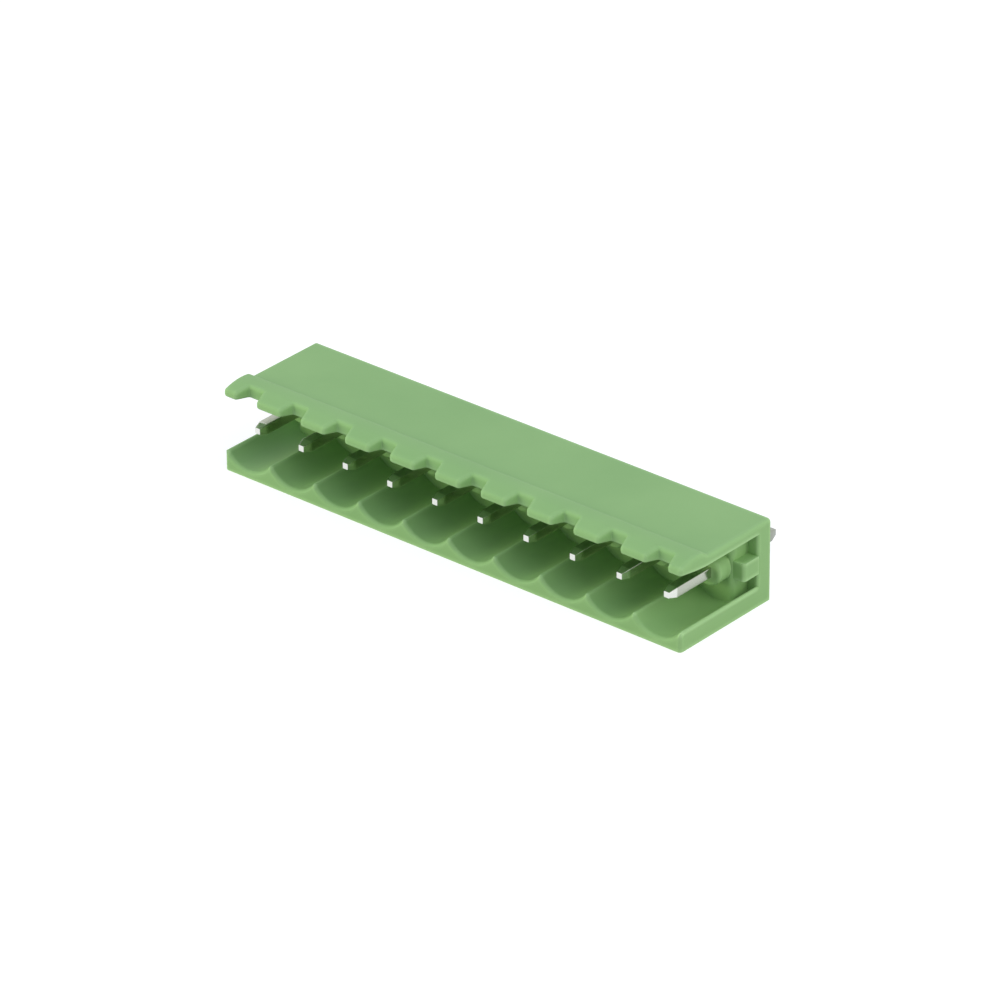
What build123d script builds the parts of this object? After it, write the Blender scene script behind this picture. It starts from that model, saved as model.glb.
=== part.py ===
import os

from build123d import *

# Ten-pole board header of a pluggable terminal strip, lying on its scalloped side.
# X runs along the row of poles, Y from the open mouth to the circuit board, Z up.
# The origin is on the flat rest face, in the middle of the housing.

# Row
poles = 10
pitch = 5.08                  # from pole to pole
end_margin = 0.1              # housing beyond the last half pitch at each end
housing_depth = 12.0          # mouth to board face

# Latch wall, the flat wall that the plug's latches hook over
roof_height = 7.75            # rest face to the outside of the latch wall
roof_thickness = 0.88
lip_lead_in = 3.2             # length of the tapered lead-in under the lip
lip_lead_in_rise = 0.3        # how much the lead-in opens the mouth
rim_radius = 0.35             # rounding of the outer rim of the latch wall

# Latch bead along the front of the latch wall
bead_rise = 0.55              # height of its crest over the latch wall
bead_crest = 2.2              # crest, back from the mouth
bead_crown_radius = 5.8
bead_ramp_top = 3.05          # ramp behind the crest, back from the mouth
bead_ramp_foot = 3.7
bead_blend = 0.4              # rounding at the top and the foot of the ramp

# Notch in the lip in front of each pin
notch_mouth = 2.4
notch_back = 1.6
notch_depth = 1.35
notch_corner = 0.15
tab_corner = 0.35             # corners of the tabs left between the notches

# Scalloped floor, one round channel for each pole
channel_radius = 2.95
channel_floor = 0.65          # thinnest wall, at the middle of a channel
crest_round = 0.2             # rounding of the crests between channels
end_round = 0.17              # rounding of the floor's edge at the open ends
channel_flare = 0.3           # how far each channel widens at the mouth
flare_depth = 0.45            # how far back from the mouth it starts to widen
floor_corner = 0.35

# Base against the board, and the carrier wall that holds the pins
base_thickness = 1.7
base_corner = 0.3
back_corner = 0.15            # edges round the board face, but for the bottom one
carrier_thickness = 2.05
carrier_inset = 1.1           # depth of the pockets at the open ends
carrier_corner = 0.5
rib_height = 1.7
rib_underside = 3.1           # rib between the two pockets, over the rest face
rib_setback = 0.2             # its nose stays behind the carrier wall's face
rib_corner = 0.35

# Contact pins and the bosses round them
pin_size = 1.0
pin_edge = 0.1
pin_height = 4.05             # pin axis over the rest face
pin_setback = 1.4             # pin tip behind the mouth
pin_tip = 0.56
pin_taper = 0.77
tail_length = 3.7             # solder tail beyond the board face
boss_radius = 1.4
boss_length = 1.55
boss_edge = 0.3
pin_lead_in = 0.2             # chamfer where the pin is pressed in

# Places that follow from the sizes above
length = poles * pitch + 2 * end_margin
mouth = -housing_depth / 2
board = housing_depth / 2
roof_underside = roof_height - roof_thickness
base_front = board - base_thickness
carrier_front = base_front - carrier_thickness
boss_front = carrier_front - boss_length
channel_axis = channel_floor + channel_radius
flare_radius = (flare_depth**2 + channel_flare**2) / (2 * channel_flare)
crown_axis = roof_height + bead_rise - bead_crown_radius
pole_centres = [(k - (poles - 1) / 2) * pitch for k in range(poles)]
crests = [-length / 2] + [x + pitch / 2 for x in pole_centres[:-1]] + [length / 2]
overlap = 0.1                 # how far one wall's solid runs into the next before they join


def crown_height(setback):
    """Height of the bead's crown at a distance behind the mouth."""
    return crown_axis + (bead_crown_radius**2 - (setback - bead_crest) ** 2) ** 0.5


def channel_height(across):
    """Height of a channel's wall at a distance from the channel's middle."""
    return channel_axis - (channel_radius**2 - across**2) ** 0.5


def lip_outline():
    """Plan of the latch wall: straight back and ends, notched front edge."""
    points = [(length / 2, board), (-length / 2, board), (-length / 2, mouth)]
    for x in pole_centres:
        points.append((x - notch_mouth / 2, mouth))
        points.append((x - notch_back / 2, mouth + notch_depth))
        points.append((x + notch_back / 2, mouth + notch_depth))
        points.append((x + notch_mouth / 2, mouth))
    points.append((length / 2, mouth))
    return points


# Latch wall: the section with the bead and the lead-in, run along the whole row
with BuildPart() as latch_wall:
    with BuildSketch(Plane.YZ.offset(-length / 2)) as section:
        with BuildLine():
            crown = ThreePointArc(
                (mouth, crown_height(0)),
                (mouth + bead_crest / 2, crown_height(bead_crest / 2)),
                (mouth + bead_ramp_top, crown_height(bead_ramp_top)),
            )
            Polyline(
                crown @ 1,
                (mouth + bead_ramp_foot, roof_height),
                (board, roof_height),
                (board, roof_underside),
                (mouth + lip_lead_in, roof_underside),
                (mouth, roof_underside + lip_lead_in_rise),
                crown @ 0,
            )
        make_face()
        outside_corners = section.vertices().filter_by(lambda v: v.Y > roof_height - overlap)
        ramp_corners = outside_corners.sort_by(Axis.X)[1:3]
        fillet(ramp_corners, radius=bead_blend)
    extrude(amount=length)

    # the notched front edge, cut through the lip from above
    with BuildSketch(Plane.XY.offset(roof_underside)) as outline:
        with BuildLine():
            Polyline(*lip_outline(), close=True)
        make_face()
        rows = outline.vertices().group_by(Axis.Y)
        fillet(rows[0], radius=tab_corner)
        notch_corners = outline.vertices().filter_by_position(
            Axis.Y, mouth + notch_depth - overlap, mouth + notch_depth + overlap
        )
        fillet(notch_corners, radius=notch_corner)
    extrude(amount=roof_thickness + bead_rise, mode=Mode.INTERSECT)

    # the rounded rim that runs round the tabs, the notches and both ends
    outside = latch_wall.faces().filter_by(lambda f: f.normal_at().Z > 0.5)
    walls = latch_wall.faces().filter_by(lambda f: abs(f.normal_at().Z) < 0.1)
    wall_edges = set(walls.edges())
    rim = [e for e in outside.edges() if e in wall_edges and e.center().Y < board - overlap]
    fillet(rim, radius=rim_radius)

# Bell mouth that eases the front edge of one channel
with BuildPart() as bell_mouth:
    with BuildSketch(Plane.YZ):
        with BuildLine():
            eased_edge = RadiusArc(
                (mouth, channel_floor - channel_flare),
                (mouth + flare_depth, channel_floor),
                flare_radius,
            )
            Polyline(
                eased_edge @ 1,
                (mouth + flare_depth, channel_axis),
                (mouth, channel_axis),
                eased_edge @ 0,
            )
        make_face()
    revolve(axis=Axis((0, 0, channel_axis), (0, 1, 0)))

# Scalloped floor: its end view run from the mouth to the board
with BuildPart() as floor:
    with BuildSketch(Plane.XZ.offset(-mouth)) as scallops:
        with BuildLine():
            for x, left, right in zip(pole_centres, crests, crests[1:]):
                channel = ThreePointArc(
                    (left, channel_height(left - x)),
                    (x, channel_floor),
                    (right, channel_height(right - x)),
                )
            end_edge = (channel @ 1).Y
            Polyline(
                channel @ 1,
                (length / 2, 0),
                (-length / 2, 0),
                (-length / 2, end_edge),
            )
        make_face()
        tops = scallops.vertices().filter_by(lambda v: v.Y > channel_floor)
        fillet(tops.group_by(Axis.Y)[0], radius=crest_round)
        fillet(scallops.vertices().group_by(Axis.Y)[-1], radius=end_round)
    extrude(amount=mouth - board)
    with BuildSketch() as floor_plan:
        Rectangle(length, housing_depth)
        fillet(floor_plan.vertices().group_by(Axis.Y)[0], radius=floor_corner)
    extrude(amount=channel_axis, mode=Mode.INTERSECT)
    with Locations([(x, 0, 0) for x in pole_centres]):
        add(bell_mouth.part, mode=Mode.SUBTRACT)

# Boss round one pin, with its front edge eased
with BuildPart() as boss:
    with BuildSketch(Plane.XZ.offset(-carrier_front)):
        with Locations((0, pin_height)):
            Circle(boss_radius)
    extrude(amount=boss_length)
    fillet(boss.edges().group_by(Axis.Y)[0], radius=boss_edge)

# One contact pin: square wire with a tapered tip and a tapered tail
with BuildPart() as pin:
    pin_start = mouth + pin_setback
    tail_end = board + tail_length
    with BuildSketch(Plane.XZ.offset(-pin_start - pin_taper)):
        with Locations((0, pin_height)):
            RectangleRounded(pin_size, pin_size, pin_edge)
    extrude(amount=pin_start + 2 * pin_taper - tail_end)
    for full, end in ((pin_start + pin_taper, pin_start), (tail_end - pin_taper, tail_end)):
        with BuildSketch(Plane.XZ.offset(-full)):
            with Locations((0, pin_height)):
                RectangleRounded(pin_size, pin_size, pin_edge)
        with BuildSketch(Plane.XZ.offset(-end)):
            with Locations((0, pin_height)):
                RectangleRounded(pin_tip, pin_tip, pin_edge / 2)
        loft()

# Housing: floor, latch wall, base, carrier wall, rib and bosses moulded in one piece
with BuildPart() as housing:
    add(floor.part)
    add(latch_wall.part)
    with BuildSketch() as base_plan:
        with Locations((0, board)):
            Rectangle(length, base_thickness, align=(Align.CENTER, Align.MAX))
        fillet(base_plan.vertices().group_by(Axis.Y)[0], radius=base_corner)
    extrude(amount=roof_underside + overlap)
    with BuildSketch(Plane.XY.offset(channel_floor / 2)) as carrier_plan:
        with Locations((0, carrier_front)):
            Rectangle(length - 2 * carrier_inset, carrier_thickness + overlap,
                      align=(Align.CENTER, Align.MIN))
        fillet(carrier_plan.vertices().group_by(Axis.Y)[0], radius=carrier_corner)
    extrude(amount=roof_underside + overlap - channel_floor / 2)
    with BuildSketch(Plane.XY.offset(rib_underside)) as rib_plan:
        with Locations((0, base_front + overlap)):
            Rectangle(length, carrier_thickness - rib_setback + overlap,
                      align=(Align.CENTER, Align.MAX))
        fillet(rib_plan.vertices().group_by(Axis.Y)[0], radius=rib_corner)
    extrude(amount=rib_height)
    with Locations([(x, 0, 0) for x in pole_centres]):
        add(boss.part)

    board_edges = housing.faces().sort_by(Axis.Y)[-1].edges()
    fillet([e for e in board_edges if e.center().Z > overlap], radius=back_corner)

    # square holes that the pins are pressed through, opened a little at the board face
    with BuildSketch(Plane.XZ.offset(-board)):
        with Locations([(x, pin_height) for x in pole_centres]):
            RectangleRounded(pin_size, pin_size, pin_edge)
    extrude(amount=board - boss_front, mode=Mode.SUBTRACT)
    board_face = housing.faces().sort_by(Axis.Y)[-1]
    chamfer(board_face.inner_wires().edges(), length=pin_lead_in)

os.makedirs("parts", exist_ok=True)
housing.part.label = "housing"
export_step(housing.part, "parts/housing.step")

# The same pin at every pole
for number, x in enumerate(pole_centres, start=1):
    contact = Pos(x, 0, 0) * pin.part
    contact.label = f"contact_pin_{number:02d}"
    export_step(contact, f"parts/{contact.label}.step")
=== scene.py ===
# %% [markdown]
# # A ten-pole board header for a pluggable terminal strip
# The real part is a green polyamide housing, moulded in one piece, with ten square pins
# pressed through its back wall. It lies on its scalloped side on a white table.
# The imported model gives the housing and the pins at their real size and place, in metres.
# This lesson sets up the camera and the light, smooths the shapes for rendering
# and then gives each one the finish of the real material.

# %% Load the frame
import math

import bpy
from mathutils import Matrix, Vector


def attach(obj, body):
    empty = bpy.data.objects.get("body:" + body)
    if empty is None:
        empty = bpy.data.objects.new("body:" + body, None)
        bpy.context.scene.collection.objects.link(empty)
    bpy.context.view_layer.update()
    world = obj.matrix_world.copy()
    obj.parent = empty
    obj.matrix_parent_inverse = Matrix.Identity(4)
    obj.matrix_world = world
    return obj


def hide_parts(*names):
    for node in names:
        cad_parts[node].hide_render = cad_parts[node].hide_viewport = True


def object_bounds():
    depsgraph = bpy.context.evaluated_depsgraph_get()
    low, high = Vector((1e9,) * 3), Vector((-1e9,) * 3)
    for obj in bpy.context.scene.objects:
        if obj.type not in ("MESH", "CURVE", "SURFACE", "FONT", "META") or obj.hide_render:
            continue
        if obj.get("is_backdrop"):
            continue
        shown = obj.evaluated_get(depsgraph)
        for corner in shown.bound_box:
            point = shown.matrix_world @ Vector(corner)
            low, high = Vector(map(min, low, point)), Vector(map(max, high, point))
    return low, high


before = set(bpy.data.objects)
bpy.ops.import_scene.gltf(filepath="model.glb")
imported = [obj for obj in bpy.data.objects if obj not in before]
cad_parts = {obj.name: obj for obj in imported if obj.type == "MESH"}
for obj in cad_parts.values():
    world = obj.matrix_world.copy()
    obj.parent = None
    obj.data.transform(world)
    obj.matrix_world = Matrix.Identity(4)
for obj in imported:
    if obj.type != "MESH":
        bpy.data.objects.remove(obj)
cad_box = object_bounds()
MM = 0.001
pin_names = sorted(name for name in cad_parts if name.startswith("contact_pin"))
box_in_mm = [round(value / MM, 2) for corner in cad_box for value in corner]
print("pins:", len(pin_names), "box in mm:", box_in_mm)

# %% [markdown]
# ## Camera
# The camera stands where the photographer's did: to the right of the mouth and above it,
# more than half a metre away with a long lens, so that parallel edges hardly converge.
# It could be aimed with a constraint. Its axes are worked out here instead, because the
# angles come from the corners of the real housing and then hold to a fraction of a pixel.

# %% Camera axes
azimuth, elevation, roll = (math.radians(angle) for angle in (40.465, 28.382, -0.417))
aim = Vector((0, 0, 4.3)) * MM
camera_distance = 577.13 * MM
aside, above = 0.649 * MM, -0.965 * MM
film_width = 36
lens_to_image = 6.7607


def direction(turn, rise):
    """Unit vector from the object towards a place seen at this azimuth and elevation."""
    return Vector((
        math.sin(turn) * math.cos(rise),
        -math.cos(turn) * math.cos(rise),
        math.sin(rise),
    ))


back = direction(azimuth, elevation)
level = Vector((math.cos(azimuth), math.sin(azimuth), 0))
upright = back.cross(level)
right = math.cos(roll) * level + math.sin(roll) * upright
up = -math.sin(roll) * level + math.cos(roll) * upright
print("camera looks along", [round(v, 3) for v in -back])

# %% Camera
bpy.ops.object.select_all(action="DESELECT")
bpy.ops.object.camera_add()
camera = bpy.context.object
camera.data.sensor_width = film_width
camera.data.lens = lens_to_image * film_width
camera.data.clip_start = 10 * MM
stand = aim + right * aside + up * above + back * camera_distance
camera.matrix_world = Matrix.Translation(stand) @ Matrix((right, up, back)).transposed().to_4x4()
bpy.context.scene.camera = camera
bpy.context.scene.view_settings.view_transform = "Standard"
print("camera", round(camera_distance / MM), "mm away, lens", round(camera.data.lens, 1), "mm")

# %% [markdown]
# ## Helpers for colours and nodes
# Colours are written as sRGB hex values, as a colour picker shows them, and one function
# turns them to the linear numbers that Blender mixes. One more adds a node to a material
# with its settings and its links, so that each material reads as a short list.

# %% Colour and node helpers
def linear(hex_code):
    """Linear RGBA of an sRGB hex colour."""
    channels = [int(hex_code[i:i + 2], 16) / 255 for i in (1, 3, 5)]
    return [c / 12.92 if c <= 0.04045 else ((c + 0.055) / 1.055) ** 2.4 for c in channels] + [1]


def add_node(tree, kind, inputs=None, **settings):
    """Add a node: settings are its own properties, inputs are values or sockets to link."""
    node = tree.nodes.new(kind)
    for name, value in settings.items():
        setattr(node, name, value)
    for name, value in (inputs or {}).items():
        if isinstance(value, bpy.types.NodeSocket):
            tree.links.new(value, node.inputs[name])
        else:
            node.inputs[name].default_value = value
    return node


# %% [markdown]
# ## Light
# The photograph was lit softly from all round: one soft box low on the left of the mouth,
# two weaker ones high and low beside the right end, and a bright ceiling over them. None
# shines into the mouth from the camera's side, so the channels go dark towards the back.
# Each box could be a bare lamp, but a square area lamp has the soft edge that is wanted.
# A box of level 1 would light a face turned straight to it as brightly as paper in the sun.
# Reflections leave the boxes out, since the photographed pins show the white room and no
# bright glints along their edges.

# %% Soft boxes
box_distance, box_size = 600 * MM, 400 * MM
boxes = {
    "left_box": (-45, 8, 0.76, (1.0, 1.0, 0.78)),
    "high_right_box": (85, 45, 0.25, (1.0, 1.0, 0.92)),
    "low_right_box": (115, 15, 0.28, (1.0, 1.0, 0.96)),
}
for name, (turn, rise, box_level, tint) in boxes.items():
    facing = direction(math.radians(turn), math.radians(rise))
    bpy.ops.object.select_all(action="DESELECT")
    bpy.ops.object.light_add(type="AREA", location=aim + facing * box_distance)
    soft_box = bpy.context.object
    soft_box.name = name
    soft_box.rotation_euler = facing.to_track_quat("Z", "Y").to_euler()
    soft_box.data.shape = "SQUARE"
    soft_box.data.size = box_size
    soft_box.data.color = tint
    soft_box.data.energy = math.pi ** 2 * box_level * box_distance ** 2
    soft_box.visible_glossy = False
    print(name, round(soft_box.data.energy, 2), "W")

# %% [markdown]
# The room is the world: a ceiling that is brighter and a little cooler than the walls.
# The camera sees it pure white, and so do the glossy and the clear rays, so that the bright
# tin has something white to reflect. Only its soft light follows the height.

# %% Room
def straight_look(tree):
    """1 for the rays of the camera and of reflections, 0 for soft light."""
    rays = add_node(tree, "ShaderNodeLightPath")
    pair = add_node(tree, "ShaderNodeMath", operation="ADD", inputs={
        0: rays.outputs["Is Camera Ray"], 1: rays.outputs["Is Glossy Ray"]})
    both = add_node(tree, "ShaderNodeMath", operation="ADD", use_clamp=True, inputs={
        0: pair.outputs[0], 1: rays.outputs["Is Transmission Ray"]})
    return both.outputs[0]


def blend(tree, factor, first, second):
    """A colour between two others. Mix has its colours at sockets 6 and 7, and at 2 out."""
    mixer = add_node(tree, "ShaderNodeMix", data_type="RGBA", inputs={
        0: factor, 6: first, 7: second})
    return mixer.outputs[2]


white = (1, 1, 1, 1)
wall_light = (0.42, 0.43, 0.43, 1)
ceiling_light = (0.86, 0.88, 1.38, 1)
room = bpy.data.worlds.new("white_room")
bpy.context.scene.world = room
room.use_nodes = True
tree = room.node_tree
tree.nodes.clear()
where = add_node(tree, "ShaderNodeTexCoord")
height = add_node(tree, "ShaderNodeSeparateXYZ", {"Vector": where.outputs["Generated"]})
steep = add_node(tree, "ShaderNodeMath", {0: height.outputs["Z"], 1: 2.0}, operation="POWER")
soft = blend(tree, steep.outputs[0], wall_light, ceiling_light)
seen = blend(tree, straight_look(tree), soft, white)
glow = add_node(tree, "ShaderNodeBackground", {"Color": seen, "Strength": 1.0})
add_node(tree, "ShaderNodeOutputWorld", {"Surface": glow.outputs[0]})

# %% [markdown]
# ## Table
# The table is a plain white sheet under the object. For the light that it throws back into
# the mouth it is a pale grey. For the camera and for reflections most of its white is its
# own glow and the rest is a colour that the light falls on, so it melts into the white
# room and still takes a faint shadow of the object. That colour is a little warm, because
# the light that reaches the shadow comes from the cool ceiling.

# %% Table
bpy.ops.object.select_all(action="DESELECT")
bpy.ops.mesh.primitive_plane_add(size=4)
table_top = bpy.context.object
table_top.name = "table_top"
table_top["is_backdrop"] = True
pale_grey = (0.7, 0.7, 0.7, 1)
shadow_colour = (0.40, 0.40, 0.37, 1)
own_glow = 0.72
white_sheet = bpy.data.materials.new("white_sheet")
white_sheet.use_nodes = True
tree = white_sheet.node_tree
shader = tree.nodes["Principled BSDF"]
shader.inputs["Roughness"].default_value = 0.9
shader.inputs["Specular IOR Level"].default_value = 0.0
looks = straight_look(tree)
sheet = blend(tree, looks, pale_grey, shadow_colour)
white_glow = add_node(tree, "ShaderNodeMath", {0: looks, 1: own_glow}, operation="MULTIPLY")
shader.inputs["Emission Color"].default_value = white
tree.links.new(sheet, shader.inputs["Base Color"])
tree.links.new(white_glow.outputs[0], shader.inputs["Emission Strength"])
table_top.data.materials.append(white_sheet)

# %% [markdown]
# ## Smooth copies of the moulded and drawn shapes
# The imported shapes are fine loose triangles, flat shaded, which shows facets on the
# roundings. Each is copied, its doubled corners are merged, and the copy is shaded smooth
# below a small angle. Weighted normals then keep the large flat faces truly flat.
# Modelling the shapes again would only lose their exact roundings.
#
# In the photograph the lower edge of the lip is a little soft as well, all round the tabs and
# notches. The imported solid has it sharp, so a small bevel is run along that edge of the copy.
# It only takes material away. A bevel runs unevenly over loose triangles, so the triangles
# of each flat face are joined first.

# %% The soft lower edge of the lip
lip_soft = 0.22 * MM
lip_low, lip_high = 6.86 * MM, 7.18 * MM
lip_end = -2.8 * MM
flat_angle = math.radians(0.2)


def join_flat_faces():
    """Join the triangles of each flat face and leave nothing selected."""
    bpy.ops.object.mode_set(mode="EDIT")
    bpy.ops.mesh.select_all(action="SELECT")
    bpy.ops.mesh.dissolve_limited(angle_limit=flat_angle)
    bpy.ops.mesh.select_mode(type="EDGE")
    bpy.ops.mesh.select_all(action="DESELECT")
    bpy.ops.object.mode_set(mode="OBJECT")


def ease_lip(piece):
    """Bevel the sharp edge between the lip's underside and the walls round it."""
    join_flat_faces()
    mesh = piece.data
    faces_down, stands_up = -0.9, 0.2
    tilts = {}
    for face in mesh.polygons:
        for key in face.edge_keys:
            tilts.setdefault(key, []).append(face.normal.z)
    eased = 0
    for edge in mesh.edges:
        ends = [mesh.vertices[index].co for index in edge.vertices]
        on_lip = all(lip_low < end.z < lip_high and end.y < lip_end for end in ends)
        pair = sorted(tilts[edge.key])
        sharp = len(pair) == 2 and pair[0] < faces_down and abs(pair[1]) < stands_up
        edge.select = on_lip and sharp
        eased += edge.select
    bpy.ops.object.mode_set(mode="EDIT")
    bpy.ops.mesh.bevel(offset=lip_soft, segments=4, affect="EDGES")
    bpy.ops.object.mode_set(mode="OBJECT")
    print("eased", eased, "edges under the lip")


# %% Smooth copy of one node
same_corner = 0.0005 * MM
smooth_below = math.radians(32)


def smooth_copy(node_name, piece_name, detail=None):
    """A merged, smooth-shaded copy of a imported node, which takes its place."""
    bpy.ops.object.select_all(action="DESELECT")
    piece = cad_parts[node_name].copy()
    piece.data = piece.data.copy()
    piece.name = piece_name
    bpy.context.collection.objects.link(piece)
    bpy.context.view_layer.objects.active = piece
    piece.select_set(True)
    bpy.ops.object.mode_set(mode="EDIT")
    bpy.ops.mesh.select_all(action="SELECT")
    bpy.ops.mesh.remove_doubles(threshold=same_corner)
    bpy.ops.object.mode_set(mode="OBJECT")
    if detail:
        detail(piece)
    bpy.ops.mesh.customdata_custom_splitnormals_clear()
    bpy.ops.object.shade_smooth_by_angle(angle=smooth_below)
    bpy.ops.object.modifier_add(type="WEIGHTED_NORMAL")
    flat_normals = bpy.context.object.modifiers[-1]
    flat_normals.keep_sharp = True
    bpy.ops.object.modifier_apply(modifier=flat_normals.name)
    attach(piece, "root")
    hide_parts(node_name)
    return piece


moulding = smooth_copy("housing", "moulded_housing", ease_lip)
pins = [smooth_copy(name, "drawn_" + name[8:]) for name in pin_names]
print("housing", len(moulding.data.vertices), "corners; a pin", len(pins[0].data.vertices))

# %% [markdown]
# ## Moulded polyamide
# Headers like this are usually polyamide, injection moulded in a spark-eroded tool. The eye
# gets a satin green with a very fine grain, slightly cloudy where the melt flowed, and no
# clear reflections. The grain is drawn about 0.12 mm from hill to hill.
# The raised edges are painted a paler green, a painted highlight for the light that their
# roundings catch, and they are made a little glossier.
# Short rays shot inwards find those edges: near an edge they soon leave the plastic again.

# %% Polyamide
polyamide = bpy.data.materials.new("satin_moulded_polyamide")
polyamide.use_nodes = True
tree = polyamide.node_tree
shader = tree.nodes["Principled BSDF"]
where = add_node(tree, "ShaderNodeTexCoord")
grain_scale = 1 / (0.12 * MM)
cloud_scale = 1 / (9 * MM)
rim_highlight_width = 0.45 * MM
# The paler green below is a painted highlight for the raised edges.
painted_highlight_green = linear("#A6CE89")
grain = add_node(tree, "ShaderNodeTexNoise", {
    "Vector": where.outputs["Object"], "Scale": grain_scale, "Detail": 2.0, "Roughness": 0.6})
clouds = add_node(tree, "ShaderNodeTexNoise", {
    "Vector": where.outputs["Object"], "Scale": cloud_scale, "Detail": 3.0, "Roughness": 0.55})
inwards = add_node(tree, "ShaderNodeAmbientOcclusion", {
    "Distance": rim_highlight_width}, samples=8, inside=True)
# Painted highlight: where the inward rays find an edge the green turns paler, and the same mask
# makes it a little glossier.
rim_highlight_and_gloss = add_node(tree, "ShaderNodeMapRange", {
    "Value": inwards.outputs["AO"], "From Min": 0.95, "From Max": 0.4})
green = add_node(tree, "ShaderNodeValToRGB", {"Fac": clouds.outputs["Fac"]})
green.color_ramp.elements[0].position = 0.3
green.color_ramp.elements[1].position = 0.7
green.color_ramp.elements[0].color = linear("#82AD68")
green.color_ramp.elements[1].color = linear("#89B36D")
green_with_painted_rims = blend(tree, rim_highlight_and_gloss.outputs["Result"], green.outputs["Color"], painted_highlight_green)
matt = add_node(tree, "ShaderNodeMapRange", {
    "Value": grain.outputs["Fac"], "To Min": 0.48, "To Max": 0.62})
rough = add_node(tree, "ShaderNodeMath", operation="MULTIPLY_ADD", inputs={
    0: rim_highlight_and_gloss.outputs["Result"], 1: -0.12, 2: matt.outputs["Result"]})
relief = add_node(tree, "ShaderNodeBump", {
    "Height": grain.outputs["Fac"], "Strength": 0.25, "Distance": 0.01 * MM})
tree.links.new(green_with_painted_rims, shader.inputs["Base Color"])
tree.links.new(rough.outputs[0], shader.inputs["Roughness"])
tree.links.new(relief.outputs["Normal"], shader.inputs["Normal"])
shader.inputs["IOR"].default_value = 1.5
shader.inputs["Specular IOR Level"].default_value = 0.4
moulding.data.materials.clear()
moulding.data.materials.append(polyamide)

# %% [markdown]
# ## Tinned brass
# Such pins are cut from square brass wire, drawn and then plated with tin. The eye gets a
# pale grey metal with faint streaks along its length that reflects the green around it.
# The streaks run along the wire. They are a few hundredths of a millimetre wide on the real
# pin and are drawn 0.08 mm wide here, the finest that still shows.
# The tapered tip in the mouth is painted whiter, a painted highlight for the white room that its
# faces reflect.
# The solder tail behind the board face looks duller and darker. The place along the wire
# tells the three parts from one another.

# %% Tinned brass
tin = bpy.data.materials.new("bright_tinned_brass")
tin.use_nodes = True
tree = tin.node_tree
shader = tree.nodes["Principled BSDF"]
where = add_node(tree, "ShaderNodeTexCoord")
streak_width, streak_stretch = 0.08 * MM, 0.04
along = add_node(tree, "ShaderNodeMapping", {
    "Vector": where.outputs["Object"], "Scale": (1, streak_stretch, 1)})
streaks = add_node(tree, "ShaderNodeTexNoise", {
    "Vector": along.outputs["Vector"], "Scale": 1 / streak_width, "Detail": 3.0, "Roughness": 0.6})
plating = add_node(tree, "ShaderNodeValToRGB", {"Fac": streaks.outputs["Fac"]})
plating.color_ramp.elements[0].color = linear("#B1B6A8")
plating.color_ramp.elements[1].color = linear("#C8CCBE")

# %% The painted highlight on the tip and the dull tail
# The whiter tip colour is a painted highlight. The grey is for the duller tail.
painted_tip_white, dull_grey = linear("#E2E4DC"), linear("#A4A99C")
wire_start = min(corner.co.y for corner in pins[0].data.vertices)
board_face = max(corner.co.y for corner in moulding.data.vertices)
place = add_node(tree, "ShaderNodeSeparateXYZ", {"Vector": where.outputs["Object"]})
# Painted highlight: the last part of the tapered tip is blended to a whiter tin.
tip_highlight_mask = add_node(tree, "ShaderNodeMapRange", {
    "Value": place.outputs["Y"],
    "From Min": wire_start + 0.90 * MM, "From Max": wire_start + 0.75 * MM})
dull = add_node(tree, "ShaderNodeMapRange", {
    "Value": place.outputs["Y"],
    "From Min": board_face - 0.5 * MM, "From Max": board_face + 0.5 * MM})
bright = blend(tree, tip_highlight_mask.outputs["Result"], plating.outputs["Color"], painted_tip_white)
metal = blend(tree, dull.outputs["Result"], bright, dull_grey)
drawn = add_node(tree, "ShaderNodeMapRange", {
    "Value": streaks.outputs["Fac"], "To Min": 0.14, "To Max": 0.26})
rough = add_node(tree, "ShaderNodeMath", operation="MULTIPLY_ADD", inputs={
    0: dull.outputs["Result"], 1: 0.2, 2: drawn.outputs["Result"]})
wire_runs = [round(y / MM, 2) for y in (wire_start, board_face)]
print("from the tip to the board face, in mm:", wire_runs)
relief = add_node(tree, "ShaderNodeBump", {
    "Height": streaks.outputs["Fac"], "Strength": 0.15, "Distance": 0.005 * MM})
tree.links.new(metal, shader.inputs["Base Color"])
tree.links.new(rough.outputs[0], shader.inputs["Roughness"])
tree.links.new(relief.outputs["Normal"], shader.inputs["Normal"])
shader.inputs["Metallic"].default_value = 1.0
for pin in pins:
    pin.data.materials.clear()
    pin.data.materials.append(tin)

# %% [markdown]
# ## Sizes
# The finish should leave the size as it was, so the box of the imported model is held against
# the box of what now shows, and the largest change is printed.

# %% Compare both boxes
shown_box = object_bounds()
changes = [abs(a - b) for pair in zip(cad_box, shown_box) for a, b in zip(*pair)]
print("largest change in mm:", max(changes) / MM)
